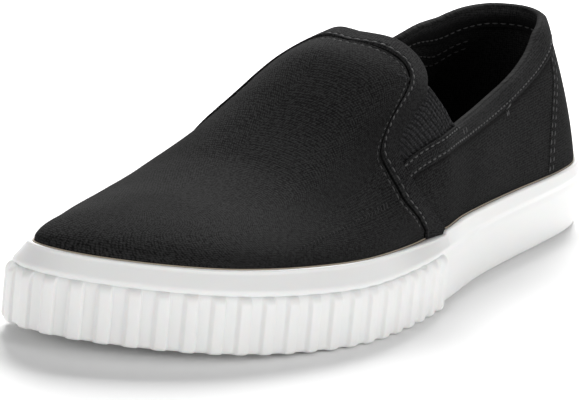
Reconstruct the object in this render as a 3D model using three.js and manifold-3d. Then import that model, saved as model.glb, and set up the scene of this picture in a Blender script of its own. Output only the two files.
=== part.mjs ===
// A left slip-on canvas sneaker on a moulded rubber cup sole.
// Millimetres, +Z up, toe towards -Y, lateral (outer) side towards +X.
// Heights are measured from the floor that the shoe stands on.

import * as THREE from 'three';
import { mergeVertices } from 'three/addons/utils/BufferGeometryUtils.js';
import Module from 'manifold-3d';

const wasm = await Module();
wasm.setup();

// Driving dimensions of the sole
const soleLength = 272;
const ballWidth = 95.8;
const toeSpring = 4.4;
const springStart = 0.7;          // share of the length where the toe starts to lift
const ledgeHeight = 15.1;         // top of the ribbed band, and the crease of the plain wall
const foxingHeight = 22.6;        // top edge of the rubber wall at the forefoot
const heelFoxing = 21;            // the same behind the waist
const wallSetback = 2.1;          // plain wall behind the ribbed band's outline
const foxingLean = 3.1;           // how far the foxing leans in at the forefoot, crease to top
const heelLean = 0.7;             // the same behind the waist
const leanStart = 0.5;            // shares of the length between which the lean changes
const leanEnd = 0.565;
const foxingLip = 1.6;            // thickness of the rubber at the foxing's top
const edgeRound = 1.5;            // rounding of the sole's bottom edge
const lipRound = 0.5;
const heelFloor = 14;             // cup floor above the ground, at the heel
const foreFloor = 9.5;            // cup floor above the tread, at the ball
const rampStart = 0.25;           // shares of the length between which the cup floor falls
const rampEnd = 0.68;

// Driving dimensions of the ribbed toe band
const bandThickness = 3.3;
const bandEnd = 0.545;            // share of the length where the band stops, both sides
const ribPitch = 7.7;
const ribShare = 0.45;            // raised share of each pitch
const ribDepth = 1.3;
const ribSlope = 0.7;             // length of the slope from a rib down to its groove
const shoulderDrop = 3;           // height of the rounded shoulder at the band's top
const shoulderDepth = 0.65;       // how far the shoulder's middle lies behind the ribs
const bandEdge = 0.9;             // rounding of the band's bottom edge

// Driving dimensions of the tread
const treadDepth = 1.8;
const grooveWidth = 2.6;
const groovePitch = 11;
const treadRim = 8;               // uncut rim of the sole's underside
const treadEnd = 16;              // uncut ends of the tread at heel and toe
const waistStart = 0.31;          // shares of the length between which the tread has no grooves
const waistEnd = 0.5;
const hollowLength = 40;          // shallow hollow under the waist
const hollowDepth = 1.3;

// Driving dimensions of the upper
const instepHeight = 68;          // top of the throat
const heelHeight = 63.5;          // top of the collar at the back
const sideHeight = 47.4;          // lowest point of the collar at the sides
const wall = 2;                   // canvas and lining together
const overlayThickness = 0.8;
const facingWidth = 8;
const strapWidth = 6;
const goreWall = 1.5;
const goreSink = 0.2;             // gore's face behind the canvas
const goreTuck = 2.5;             // how far the gore reaches under the facing and the strap
const insoleThickness = 3.5;

const clearance = 0.3;            // gap between pieces that touch

// The columns and rows of the surfaces
const aroundSteps = 92;
const riseSteps = 9;
const arcSteps = 2000;            // steps that measure the band's length
const mergeTolerance = 1e-4;
const turnNudge = 1e-4;           // step of a turn that gives the outline's direction

const rubberColour = 0xe6e4e0;
const canvasColour = 0x2b2b2c;
const tapeColour = 0x242425;
const goreColour = 0x1f1f20;
const sockColour = 0x161617;
const rubberRoughness = 0.55;
const clothRoughness = 0.9;

// Outline of the sole. half and shift are shares of half the ball width,
// shift moves the middle towards the lateral side.
const outlineRows = [
  { at: 0, half: 0, shift: -0.01 },
  { at: 0.03, half: 0.42, shift: -0.012 },
  { at: 0.06, half: 0.552, shift: -0.012 },
  { at: 0.1, half: 0.652, shift: -0.008 },
  { at: 0.15, half: 0.703, shift: -0.004 },
  { at: 0.2, half: 0.726, shift: 0.005 },
  { at: 0.3, half: 0.735, shift: 0.046 },
  { at: 0.4, half: 0.75, shift: 0.096 },
  { at: 0.5, half: 0.826, shift: 0.129 },
  { at: 0.6, half: 0.943, shift: 0.103 },
  { at: 0.68, half: 1, shift: 0.075 },
  { at: 0.74, half: 0.976, shift: 0.071 },
  { at: 0.8, half: 0.893, shift: 0.058 },
  { at: 0.85, half: 0.796, shift: 0.041 },
  { at: 0.9, half: 0.667, shift: 0.005 },
  { at: 0.95, half: 0.485, shift: -0.085 },
  { at: 0.98, half: 0.315, shift: -0.15 },
  { at: 1, half: 0, shift: -0.185 },
];

// Sections of the upper. crest is the height of its top line as a share of the instep height,
// lean moves the crest to the lateral side as a share of half the ball width,
// full is the section's fullness and swell how far its side bulges, as a share of the wall.
const upperRows = [
  { at: 0, crest: 1.17, lean: 0, full: 2, swell: -2.8 },
  { at: 0.15, crest: 1.17, lean: 0, full: 2, swell: -2.7 },
  { at: 0.3, crest: 1.14, lean: 0.02, full: 2, swell: -1.9 },
  { at: 0.42, crest: 1.06, lean: 0.03, full: 2, swell: -0.8 },
  { at: 0.5, crest: 0.998, lean: 0.05, full: 2.2, swell: 0 },
  { at: 0.54, crest: 0.952, lean: 0.02, full: 2.0, swell: 0 },
  { at: 0.58, crest: 0.862, lean: -0.01, full: 1.87, swell: 0 },
  { at: 0.62, crest: 0.75, lean: -0.035, full: 1.8, swell: 0 },
  { at: 0.66, crest: 0.65, lean: -0.05, full: 1.77, swell: 0 },
  { at: 0.7, crest: 0.573, lean: -0.06, full: 1.72, swell: 0 },
  { at: 0.76, crest: 0.526, lean: -0.06, full: 1.68, swell: 0 },
  { at: 0.82, crest: 0.512, lean: -0.07, full: 1.75, swell: 0 },
  { at: 0.88, crest: 0.502, lean: -0.08, full: 1.8, swell: 0 },
  { at: 1, crest: 0.492, lean: -0.08, full: 1.8, swell: 0 },
];
const crestHeelEnd = 0.12;        // shares of the length where the crest line ends
const crestToeEnd = 0.86;
const crestEase = 2.2;            // how softly the fans round heel and toe open

// Lines of the side view. along is a share of the sole's length from the heel.
// Upper edge of the quarter strap, from the facing back round the heel: rise is a share
// of the way from the side height up to the heel height. Behind the gore it is the collar.
const strapRows = [
  { along: 0.592, rise: -0.38 },
  { along: 0.547, rise: -0.17 },
  { along: 0.5, rise: -0.06 },
  { along: 0.457, rise: 0 },
  { along: 0.42, rise: 0 },
  { along: 0.356, rise: 0.03 },
  { along: 0.291, rise: 0.18 },
  { along: 0.225, rise: 0.39 },
  { along: 0.178, rise: 0.66 },
  { along: 0.15, rise: 0.8 },
  { along: 0.12, rise: 0.91 },
  { along: 0.07, rise: 0.98 },
  { along: 0, rise: 1 },
];
const collarStart = 3;            // row of the strap where the collar begins

// Rear edge of the throat facing: rise is a share of the way from the foxing to the instep,
// width the share of the facing's width that shows from the side
const facingRows = [
  { along: 0.489, rise: 1.25, width: 1 },
  { along: 0.489, rise: 1.04, width: 1 },
  { along: 0.474, rise: 0.997, width: 1 },
  { along: 0.468, rise: 0.94, width: 0.97 },
  { along: 0.472, rise: 0.867, width: 0.85 },
  { along: 0.49, rise: 0.784, width: 0.6 },
  { along: 0.517, rise: 0.707, width: 0.45 },
  { along: 0.545, rise: 0.628, width: 0.42 },
  { along: 0.567, rise: 0.562, width: 0.4 },
  { along: 0.583, rise: 0.482, width: 0.5 },
  { along: 0.588, rise: 0.411, width: 0.68 },
  { along: 0.583, rise: 0.328, width: 0.92 },
  { along: 0.569, rise: 0.218, width: 1 },
  { along: 0.546, rise: 0.086, width: 0.85 },
  { along: 0.51, rise: -0.1, width: 0.85 },
];
const throatRow = 5;              // row of the facing where the gore's top edge starts
const facingFoot = 11;            // row of the facing that the gore's field ends before

// Top edge of the gore, as shares of the way down and back from the throat to the collar
const goreRows = [
  { down: 0.28, back: 0.18 },
  { down: 0.59, back: 0.48 },
  { down: 0.91, back: 0.75 },
];

// Front edge of the heel counter, rise as in the facing
const counterRows = [
  { along: 0.142, rise: 0.73 },
  { along: 0.142, rise: 0.53 },
  { along: 0.167, rise: 0.324 },
  { along: 0.183, rise: 0.176 },
  { along: 0.201, rise: -0.1 },
];

const halfBall = ballWidth / 2;

// Insets from the sole's outline: the foxing's top edge, the cup's inner wall, the upper's face
const leanShift = (share) => THREE.MathUtils.smoothstep(share, leanStart, leanEnd);
const foxingInset = (share) => wallSetback + THREE.MathUtils.lerp(heelLean, foxingLean, leanShift(share));
const foxingTop = (share) => (
  THREE.MathUtils.lerp(heelFoxing, foxingHeight, leanShift(share)) + springAt(share)
);
const cupInset = (share) => foxingInset(share) + foxingLip;
const upperInset = (share) => cupInset(share) + clearance;

// Smooth curve through one column of a table. The angle spreads the round ends evenly.
const angleOf = (share) => Math.acos(1 - 2 * Math.min(Math.max(share, 0), 1));

function columnCurve(rows, key) {
  const xs = rows.map((row) => angleOf(row.at));
  const ys = rows.map((row) => row[key]);
  return (share) => hermite(xs, ys, angleOf(share));
}

function hermite(xs, ys, x) {
  const last = xs.length - 1;
  let i = 0;
  while (i < last - 1 && x > xs[i + 1]) i += 1;
  const slope = (k) => {
    const a = Math.max(k - 1, 0);
    const b = Math.min(k + 1, last);
    return (ys[b] - ys[a]) / (xs[b] - xs[a]);
  };
  const step = xs[i + 1] - xs[i];
  const s = (x - xs[i]) / step;
  const s2 = s * s;
  const s3 = s2 * s;
  return ys[i] * (2 * s3 - 3 * s2 + 1) + ys[i + 1] * (3 * s2 - 2 * s3)
    + step * (slope(i) * (s3 - 2 * s2 + s) + slope(i + 1) * (s3 - s2));
}

const outlineHalf = columnCurve(outlineRows, 'half');
const outlineShift = columnCurve(outlineRows, 'shift');
const crestCurve = columnCurve(upperRows, 'crest');
const leanCurve = columnCurve(upperRows, 'lean');
const fullCurve = columnCurve(upperRows, 'full');
const swellCurve = columnCurve(upperRows, 'swell');

// Place along the shoe of a share of its length, 0 at the heel's back and 1 at the toe's tip
const alongY = (share) => soleLength * (0.5 - share);
const shareOfTurn = (turn) => (1 - Math.cos(2 * Math.PI * turn)) / 2;
const springAt = (share) => {
  const past = Math.max((share - springStart) / (1 - springStart), 0);
  return toeSpring * past * past;
};
const floorAt = (share) => {
  const s = THREE.MathUtils.smoothstep(share, rampStart, rampEnd);
  return THREE.MathUtils.lerp(heelFloor, foreFloor, s) + springAt(share);
};

// Point of the sole's outline. A turn of 0 is the heel, 0 to 0.5 the lateral side,
// 0.5 the toe, and 0.5 to 1 the medial side.
function outlinePoint(turn) {
  const share = shareOfTurn(turn);
  const side = Math.sign(Math.sin(2 * Math.PI * turn));
  const x = halfBall * (outlineShift(share) + side * outlineHalf(share));
  return new THREE.Vector2(x, alongY(share));
}

// The same point moved in along the outline's normal
function insetPoint(turn, inset) {
  const before = outlinePoint(turn - turnNudge);
  const after = outlinePoint(turn + turnNudge);
  const way = after.sub(before).normalize();
  return outlinePoint(turn).add(new THREE.Vector2(way.y, -way.x).multiplyScalar(inset));
}

// Columns are placed alike on both sides, so that rungs run straight across
function evenTurns(steps) {
  return Array.from({ length: steps }, (_, i) => i / steps);
}

function turnOfShare(share, side) {
  const half = angleOf(share) / (2 * Math.PI);
  return side > 0 ? half : 1 - half;
}

// Builds one closed geometry from a list of triangles' corners
function closedGeometry(corners) {
  const geometry = new THREE.BufferGeometry();
  geometry.setAttribute('position', new THREE.Float32BufferAttribute(corners, 3));
  return dropFlat(mergeVertices(geometry, mergeTolerance));
}

function dropFlat(geometry) {
  const kept = [];
  const index = geometry.index.array;
  for (let i = 0; i < index.length; i += 3) {
    const [a, b, c] = [index[i], index[i + 1], index[i + 2]];
    if (a !== b && b !== c && c !== a) kept.push(a, b, c);
  }
  geometry.setIndex(kept);
  return geometry;
}

function pushTriangle(corners, a, b, c) {
  corners.push(a.x, a.y, a.z, b.x, b.y, b.z, c.x, c.y, c.z);
}

function pushQuad(corners, a, b, c, d) {
  if (a.distanceToSquared(c) < b.distanceToSquared(d)) {
    pushTriangle(corners, a, b, c);
    pushTriangle(corners, a, c, d);
  } else {
    pushTriangle(corners, a, b, d);
    pushTriangle(corners, b, c, d);
  }
}

// Joins rings of points, each running clockwise round the shoe seen from above.
// A wall whose rings follow each other upwards faces outwards.
function joinRings(corners, rings) {
  for (let j = 0; j + 1 < rings.length; j += 1) {
    const low = rings[j];
    const high = rings[j + 1];
    for (let i = 0; i < low.length; i += 1) {
      const n = (i + 1) % low.length;
      pushQuad(corners, low[i], high[i], high[n], low[n]);
    }
  }
}

// Closes a ring with rungs from the lateral to the medial side
function capRing(corners, ring, upwards) {
  const count = ring.length;
  for (let i = 0; i < count / 2; i += 1) {
    const a = ring[i];
    const b = ring[i + 1];
    const c = ring[(count - i - 1) % count];
    const d = ring[(count - i) % count];
    if (upwards) pushQuad(corners, d, c, b, a);
    else pushQuad(corners, a, b, c, d);
  }
}

function ringAt(turns, insetOf, heightOf) {
  return turns.map((turn) => {
    const share = shareOfTurn(turn);
    const flat = insetPoint(turn, insetOf(share));
    return new THREE.Vector3(flat.x, flat.y, heightOf(share));
  });
}

// Joining and cutting of closed geometries
function solidOf(geometry) {
  const merged = mergeVertices(geometry, mergeTolerance);
  return new wasm.Manifold(new wasm.Mesh({
    numProp: 3,
    vertProperties: new Float32Array(merged.attributes.position.array),
    triVerts: new Uint32Array(merged.index.array),
  }));
}

function plain(geometry) {
  geometry.deleteAttribute('normal');
  geometry.deleteAttribute('uv');
  return geometry;
}

function geometryOf(solid) {
  const mesh = solid.getMesh();
  const geometry = new THREE.BufferGeometry();
  geometry.setAttribute('position', new THREE.BufferAttribute(new Float32Array(mesh.vertProperties), 3));
  geometry.setIndex(Array.from(mesh.triVerts));
  return geometry;
}

// A bar across the shoe with the given outline in the side view, points as (y, z)
const barReach = ballWidth;

function sideBar(points, fromX = -barReach, toX = barReach) {
  const shape = new THREE.Shape(points.map(([y, z]) => new THREE.Vector2(y, z)));
  const bar = new THREE.ExtrudeGeometry(shape, { depth: toX - fromX, bevelEnabled: false, steps: 1 });
  bar.applyMatrix4(new THREE.Matrix4().set(
    0, 0, 1, fromX,
    1, 0, 0, 0,
    0, 1, 0, 0,
    0, 0, 0, 1,
  ));
  return solidOf(plain(bar));
}

// The moulded sole: tread, wall, foxing and the cup that holds the upper
function soleTurns() {
  const turns = evenTurns(aroundSteps);
  const gapShare = clearance / soleLength;
  for (const side of [1, -1]) {
    for (const nudge of [0, gapShare]) {
      turns.push(turnOfShare(bandEnd - nudge, side));
    }
  }
  return turns.sort((a, b) => a - b);
}

function makeSole() {
  const turns = soleTurns();
  const banded = (share) => share > bandEnd - clearance / soleLength / 2;
  const seat = bandThickness + clearance;
  const lowInset = (share) => (banded(share) ? seat : wallSetback);
  const ring = (insetOf, heightOf) => ringAt(turns, insetOf, heightOf);
  const over = (height) => (share) => springAt(share) + height;
  const rings = [
    ring((s) => lowInset(s) + edgeRound, over(0)),
    ring(lowInset, over(edgeRound)),
    ring(lowInset, over(ledgeHeight + clearance)),
    ring(() => wallSetback, over(ledgeHeight + 2 * clearance)),
    ring(foxingInset, (s) => foxingTop(s) - lipRound),
    ring((s) => foxingInset(s) + lipRound, foxingTop),
    ring(cupInset, foxingTop),
    ring(cupInset, floorAt),
  ];
  const corners = [];
  joinRings(corners, rings);
  capRing(corners, rings[0], false);
  capRing(corners, rings[rings.length - 1], true);
  return solidOf(closedGeometry(corners)).subtract(treadGrooves());
}

// Grooves across the tread, and the shallow hollow under the waist
function treadGrooves() {
  const cuts = [];
  const first = alongY(1) + treadEnd;
  const last = alongY(0) - treadEnd;
  const count = Math.floor((last - first) / groovePitch);
  for (let i = 0; i <= count; i += 1) {
    const y = first + (i + 0.5) * (last - first) / (count + 1);
    const share = 0.5 - y / soleLength;
    const inWaist = share > waistStart && share < waistEnd;
    if (!inWaist) cuts.push(treadGroove(share, grooveWidth, treadDepth));
  }
  cuts.push(treadGroove((waistStart + waistEnd) / 2, hollowLength, hollowDepth));
  return wasm.Manifold.union(cuts);
}

function treadGroove(share, width, depth) {
  const half = halfBall * outlineHalf(share) - treadRim;
  const middle = halfBall * outlineShift(share);
  const top = springAt(share) + depth;
  const box = plain(new THREE.BoxGeometry(2 * half, width, 2 * top));
  box.translate(middle, alongY(share), 0);
  return solidOf(box);
}

// The ribbed band round the toe, from the lateral to the medial waist
function bandTurns() {
  const from = turnOfShare(bandEnd, 1);
  const to = turnOfShare(bandEnd, -1);
  const turns = [];
  const lengths = [0];
  for (let i = 0; i <= arcSteps; i += 1) turns.push(from + (to - from) * i / arcSteps);
  for (let i = 1; i <= arcSteps; i += 1) {
    const step = outlinePoint(turns[i]).distanceTo(outlinePoint(turns[i - 1]));
    lengths.push(lengths[i - 1] + step);
  }
  const total = lengths[arcSteps];
  return { total, turnAt: (arc) => turns[lowerIndex(lengths, arc)] };
}

function lowerIndex(lengths, arc) {
  let low = 0;
  let high = lengths.length - 1;
  while (high - low > 1) {
    const mid = (low + high) >> 1;
    if (lengths[mid] > arc) high = mid;
    else low = mid;
  }
  return arc - lengths[low] > lengths[high] - arc ? high : low;
}

function makeBand() {
  const { total, turnAt } = bandTurns();
  const count = Math.round((total / ribPitch) - ribShare);
  const pitch = total / (count + ribShare);
  const rib = pitch * ribShare;
  const columns = [];
  for (let i = 0; i <= count; i += 1) {
    const start = i * pitch;
    const stops = i === 0 ? [[0, 0], [rib - ribSlope / 2, 0], [rib + ribSlope / 2, 1]]
      : i === count ? [[-ribSlope / 2, 1], [ribSlope / 2, 0], [rib, 0]]
        : [[-ribSlope / 2, 1], [ribSlope / 2, 0], [rib - ribSlope / 2, 0], [rib + ribSlope / 2, 1]];
    for (const [offset, valley] of stops) {
      columns.push({ turn: turnAt(start + offset), inset: valley * ribDepth });
    }
  }
  const sections = columns.map(({ turn, inset }) => {
    const share = shareOfTurn(turn);
    const lift = springAt(share);
    const point = (depth, height) => {
      const flat = insetPoint(turn, depth);
      return new THREE.Vector3(flat.x, flat.y, lift + height);
    };
    const shoulder = Math.max(inset, shoulderDepth);
    return [
      point(bandThickness, 0),
      point(inset + bandEdge, 0),
      point(inset, edgeRound),
      point(inset, ledgeHeight - shoulderDrop),
      point(shoulder, ledgeHeight - shoulderDrop / 3),
      point(wallSetback - clearance, ledgeHeight),
      point(bandThickness, ledgeHeight),
    ];
  });
  return closedGeometry(sweep(sections));
}

// Joins closed sections one after the other, with flat ends
function sweep(sections) {
  const corners = [];
  const size = sections[0].length;
  for (let i = 0; i + 1 < sections.length; i += 1) {
    for (let k = 0; k < size; k += 1) {
      const n = (k + 1) % size;
      pushQuad(corners, sections[i][k], sections[i][n], sections[i + 1][n], sections[i + 1][k]);
    }
  }
  const first = sections[0];
  const last = sections[sections.length - 1];
  for (let k = 1; k + 1 < size; k += 1) {
    pushTriangle(corners, first[0], first[k + 1], first[k]);
    pushTriangle(corners, last[0], last[k], last[k + 1]);
  }
  return corners;
}

// The upper's own surface. depth is how far inside the outer face it lies,
// rise runs from 0 at the foxing's top to 1 at the crest.
function crestShare(share) {
  const from = share - 0.5;
  const reach = from > 0 ? 2 * (1 - crestToeEnd) : 2 * crestHeelEnd;
  return 0.5 + from * (1 - reach * Math.pow(Math.abs(2 * from), crestEase));
}

function upperPoint(turn, rise, depth) {
  const share = shareOfTurn(turn);
  const top = crestShare(share);
  const base = insetPoint(turn, upperInset(share) + depth);
  const pull = 1 - depth / (soleLength * (crestToeEnd - 0.5)) * Math.abs(top - 0.5) * 2;
  const crest = new THREE.Vector2(halfBall * leanCurve(top), alongY(0.5 + (top - 0.5) * pull));
  const baseHeight = foxingTop(share);
  const crestHeight = instepHeight * crestCurve(top) - depth;
  const angle = rise * Math.PI / 2;
  const power = 2 / fullCurve(top);
  const inwards = 1 - Math.pow(Math.max(Math.cos(angle), 0), power);
  const upwards = Math.pow(Math.sin(angle), power);
  const swell = wall * swellCurve(share) * Math.sin(2 * angle);
  const out = base.clone().sub(crest).normalize().multiplyScalar(swell);
  const flat = base.lerp(crest, inwards).add(out);
  return new THREE.Vector3(flat.x, flat.y, THREE.MathUtils.lerp(baseHeight, crestHeight, upwards));
}

// The skin at one depth, from the cup floor to the crest, as rings
function skinRings(depth, bottomOf, steps) {
  const turns = evenTurns(aroundSteps);
  const rings = [turns.map((turn) => {
    const share = shareOfTurn(turn);
    const flat = insetPoint(turn, upperInset(share) + depth);
    return new THREE.Vector3(flat.x, flat.y, bottomOf(share));
  })];
  for (let j = 0; j <= steps; j += 1) {
    rings.push(turns.map((turn) => upperPoint(turn, j / steps, depth)));
  }
  return rings;
}

function shell(outer, inner, bottomOf) {
  const outside = skinRings(outer, bottomOf, riseSteps);
  const inside = skinRings(inner, bottomOf, riseSteps);
  const corners = [];
  joinRings(corners, [...inside.reverse(), ...outside]);
  return solidOf(closedGeometry(corners));
}

// Lines of the side view, each a list of (y, z) points
const strapHeight = (rise) => THREE.MathUtils.lerp(sideHeight, heelHeight, rise);
const faceHeight = (rise) => THREE.MathUtils.lerp(foxingHeight, instepHeight, rise);
const sideLine = (rows, heightOf) => rows.map((row) => [alongY(row.along), heightOf(row.rise)]);

const strapLine = sideLine(strapRows, strapHeight);
const facingLine = sideLine(facingRows, faceHeight);
const counterLine = sideLine(counterRows, faceHeight);
const collarLine = strapLine.slice(collarStart);
const goreLine = goreRows.map((row) => [
  THREE.MathUtils.lerp(facingLine[throatRow][0], collarLine[0][0], row.back),
  THREE.MathUtils.lerp(facingLine[throatRow][1], collarLine[0][1], row.down),
]);
const sky = instepHeight * 2;
const behind = soleLength;

// A line moved sideways, to the right of its way for a positive distance
function shiftLine(line, distance, shares = line.map(() => 1)) {
  return line.map((point, i) => {
    const before = line[Math.max(i - 1, 0)];
    const after = line[Math.min(i + 1, line.length - 1)];
    const way = new THREE.Vector2(after[0] - before[0], after[1] - before[1]).normalize();
    const move = distance * shares[i];
    return [point[0] + way.y * move, point[1] - way.x * move];
  });
}

const endOf = (line) => line[line.length - 1];

// What the collar and the throat leave open
function openingBar() {
  const throat = facingLine.slice(0, throatRow + 1);
  const rim = endOf(collarLine)[1];
  return sideBar([
    [throat[0][0], sky], ...throat, ...goreLine, ...collarLine, [behind, rim], [behind, sky],
  ]);
}

// The field of the gore, which reaches under the facing and the strap by the tuck
function goreBar(tuck, side = 0) {
  const front = shiftLine(facingLine.slice(throatRow, facingFoot), tuck);
  const lower = shiftLine(strapLine.slice(0, collarStart + 1), tuck);
  const back = endOf(lower)[0] + tuck;
  return sideBar(
    [...front, ...lower, [back, endOf(lower)[1]], [back, front[0][1]]],
    side > 0 ? 0 : -barReach,
    side < 0 ? 0 : barReach,
  );
}

function facingBar() {
  const shares = facingRows.map((row) => row.width);
  return sideBar([...facingLine, ...shiftLine(facingLine, facingWidth, shares).reverse()]);
}

// Everything in front of the facing's rear edge, with the gap that the strap keeps to it
function beforeFacing() {
  const edge = shiftLine(facingLine, -clearance);
  return sideBar([...edge, [-behind, endOf(edge)[1]], [-behind, edge[0][1]]]);
}

function strapBar() {
  return sideBar([...strapLine, ...shiftLine(strapLine, strapWidth).reverse()]);
}

// Everything above the strap's lower edge, with the gap that the counter keeps to it
function aboveStrap() {
  const edge = shiftLine(strapLine, strapWidth + clearance);
  return sideBar([...edge, [behind, endOf(edge)[1]], [behind, sky], [edge[0][0], sky]]);
}

function counterBar() {
  return sideBar([...counterLine, [behind, endOf(counterLine)[1]], [behind, counterLine[0][1]]]);
}

function belowBar(height) {
  return sideBar([[-behind, -sky], [behind, -sky], [behind, height], [-behind, height]]);
}

const cupBottom = (share) => floorAt(share) + clearance;
const overlay = () => shell(-clearance - overlayThickness, -clearance, foxingTop);

function makeUpper() {
  return shell(0, wall, cupBottom).subtract(openingBar()).subtract(goreBar(goreTuck + clearance));
}

function makeGore(side) {
  const panel = shell(goreSink, goreSink + goreWall, foxingTop);
  return panel.intersect(goreBar(goreTuck, side)).subtract(openingBar());
}

function makeFacing() {
  return overlay().intersect(facingBar()).subtract(belowBar(foxingHeight + clearance));
}

function makeStrap() {
  return overlay().intersect(strapBar()).subtract(beforeFacing());
}

function makeCounter() {
  const cut = overlay().intersect(counterBar()).subtract(aboveStrap());
  return cut.subtract(belowBar(heelFoxing + clearance));
}

// The sock lies on the cup floor inside the upper
function makeInsole() {
  const inset = (share) => upperInset(share) + wall + clearance;
  const turns = evenTurns(aroundSteps);
  const low = ringAt(turns, inset, (share) => floorAt(share) + clearance);
  const high = ringAt(turns, inset, (share) => floorAt(share) + clearance + insoleThickness);
  const corners = [];
  joinRings(corners, [low, high]);
  capRing(corners, low, false);
  capRing(corners, high, true);
  return closedGeometry(corners);
}

const group = new THREE.Group();

function addPiece(name, geometry, colour, roughness) {
  const material = new THREE.MeshStandardMaterial({ color: colour, roughness, metalness: 0 });
  const mesh = new THREE.Mesh(geometry, material);
  mesh.name = name;
  group.add(mesh);
}

addPiece('sole', geometryOf(makeSole()), rubberColour, rubberRoughness);
addPiece('ribbed_band', makeBand(), rubberColour, rubberRoughness);
addPiece('insole', makeInsole(), sockColour, clothRoughness);
addPiece('upper', geometryOf(makeUpper()), canvasColour, clothRoughness);
addPiece('gore_lateral', geometryOf(makeGore(1)), goreColour, clothRoughness);
addPiece('gore_medial', geometryOf(makeGore(-1)), goreColour, clothRoughness);
addPiece('throat_facing', geometryOf(makeFacing()), tapeColour, clothRoughness);
addPiece('quarter_strap', geometryOf(makeStrap()), tapeColour, clothRoughness);
addPiece('heel_counter', geometryOf(makeCounter()), canvasColour, clothRoughness);

// The origin lies under the middle of the shoe, on the floor
const box = new THREE.Box3().setFromObject(group);
const middle = box.getCenter(new THREE.Vector3());
group.position.set(-middle.x, -middle.y, -box.min.z);

export default group;
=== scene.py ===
# The looks of a left slip-on canvas sneaker: charcoal canvas on a white rubber cup sole.
# Sizes are in millimetres, as in the part's source, until a point is laid down.
import math
import bpy
import numpy as np
from mathutils import Matrix, Vector


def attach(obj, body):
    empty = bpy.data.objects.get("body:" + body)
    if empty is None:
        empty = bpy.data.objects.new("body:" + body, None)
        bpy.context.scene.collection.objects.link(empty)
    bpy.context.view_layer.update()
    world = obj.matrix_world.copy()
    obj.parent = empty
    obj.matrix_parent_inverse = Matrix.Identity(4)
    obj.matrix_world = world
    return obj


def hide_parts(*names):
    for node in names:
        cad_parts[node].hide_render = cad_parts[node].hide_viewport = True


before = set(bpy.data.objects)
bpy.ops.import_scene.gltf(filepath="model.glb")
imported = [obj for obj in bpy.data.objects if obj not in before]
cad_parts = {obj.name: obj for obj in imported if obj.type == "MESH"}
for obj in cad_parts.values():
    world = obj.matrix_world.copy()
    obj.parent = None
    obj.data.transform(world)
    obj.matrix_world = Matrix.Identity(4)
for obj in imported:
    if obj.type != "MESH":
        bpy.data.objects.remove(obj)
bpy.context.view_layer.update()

FRAME_SHIFT = np.array([-3.513, 1.028, 0.0])   # centres the shoe's box, as the source does
MM_PER_M = 1000

# The rubber
SOLE_LENGTH = 272.0
TURN_LENGTH = math.pi * SOLE_LENGTH      # millimetres of length to a turn, at the shoe's middle
HALF_BALL = 47.9
TOE_SPRING = 4.4
SPRING_START = 0.7      # share of the length where the toe starts to rise
LEDGE_HEIGHT = 15.1     # top of the toe band, and the crease in the plain wall behind it
FOXING_HEIGHT = 22.6
HEEL_FOXING = 21.0      # the same behind the waist
WALL_SETBACK = 2.1      # the side wall lies this far behind the outline
FOXING_LEAN = 3.1       # the rim's setback from the side wall
HEEL_LEAN = 0.7         # the same behind the waist
LEAN_SHARES = (0.5, 0.565)
FOXING_LIP = 1.6
EDGE_ROUND = 1.5
RIM_ROUND = 0.6
HEEL_FLOOR = 14.0
FORE_FLOOR = 9.5
FLOOR_SHARES = (0.25, 0.68)
CREASE_DEPTH = 0.22
# the crease's rows: height from the ledge, share of its depth
CREASE = ((-1.1, 0.25), (-0.5, 0.8), (0, 1), (0.5, 0.8), (1.1, 0.25))
CREASE_END = 1.7
TREAD_DEPTH = 1.8
GROOVE_WIDTH = 2.6
GROOVE_COUNT = 22
GROOVE_FLANK = 0.25
TREAD_RIM = 8.0
TREAD_END = 16.0
WAIST = (0.31, 0.5)     # shares of the length between which the tread has no grooves
HOLLOW_LENGTH = 40.0
HOLLOW_DEPTH = 1.3
BAND_THICKNESS = 3.3
BAND_END = 0.545
BAND_ROUND = 1.2
BAND_SHOULDER = 2.4     # the band's top starts to round off this far below the ledge
SHOULDER_RISE = 3.1
RIB_PITCH = 7.7
RIB_SHARE = 0.45        # a rib's width in its pitch
RIB_DEPTH = 1.1
RIB_FLANK = 1.3
RIB_CROWN = 0.2
CEMENT_RADIUS = 0.22

# The upper and the sock
INSTEP_HEIGHT = 68.0
SIDE_HEIGHT = 47.4
WALL = 2.0
CLEARANCE = 0.3
INSOLE_THICKNESS = 3.5
SOCK_ROUND = 0.8
SOCK_FOOT = 0.6         # the sock's underside stays this far inside the wall
CREST_ENDS = (0.12, 0.86)
CREST_EASE = 2.2
FOLD_DEPTH, FOLD_AHEAD, FOLD_WIDTH = 0.55, 0.15, 0.42       # the vamp's fold at its seam
ROLL_HEIGHT, ROLL_AHEAD, ROLL_WIDTH = 0.3, 1.5, 0.9         # the soft roll of cloth ahead of it
PULL_DEPTH, PULL_WIDTH = 0.3, 0.4                           # the trough under the vamp's stitches
SHADE_BELOW, SHADE_WIDTH = 0.4, 0.7                         # painted shade on the cloth beside a tape's edge
GORE_DEPTH = 0.55
GORE_THICKNESS = 1.2
GORE_RIBS = 17
GORE_RIB_HEIGHT = 0.4
GORE_HEM = 0.35
THROAT_SHARE = 0.485
GORE_CORNER = (0.6, 6.0)    # the gore's foot: share of the length, drop below the collar
STRAP_WIDTH = 6.0
STRAP_T = 0.8
FACING_T = 0.9
COUNTER_T = 0.28
# the sheets that the tapes and the counter are bent from
STRAP_SHEET, FACING_SHEET, COUNTER_SHEET = 0.45, 0.5, 0.25
LINING_REACH = 6.4      # how far the collar tape reaches down inside
FACING_REACH = 9.0      # the same for the facing at the throat
TAPE_DIP = 0.7          # how deep the strap's ends dip under the facing
CREST_DIP = 0.6         # how much deeper the facing lies on the crest

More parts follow.
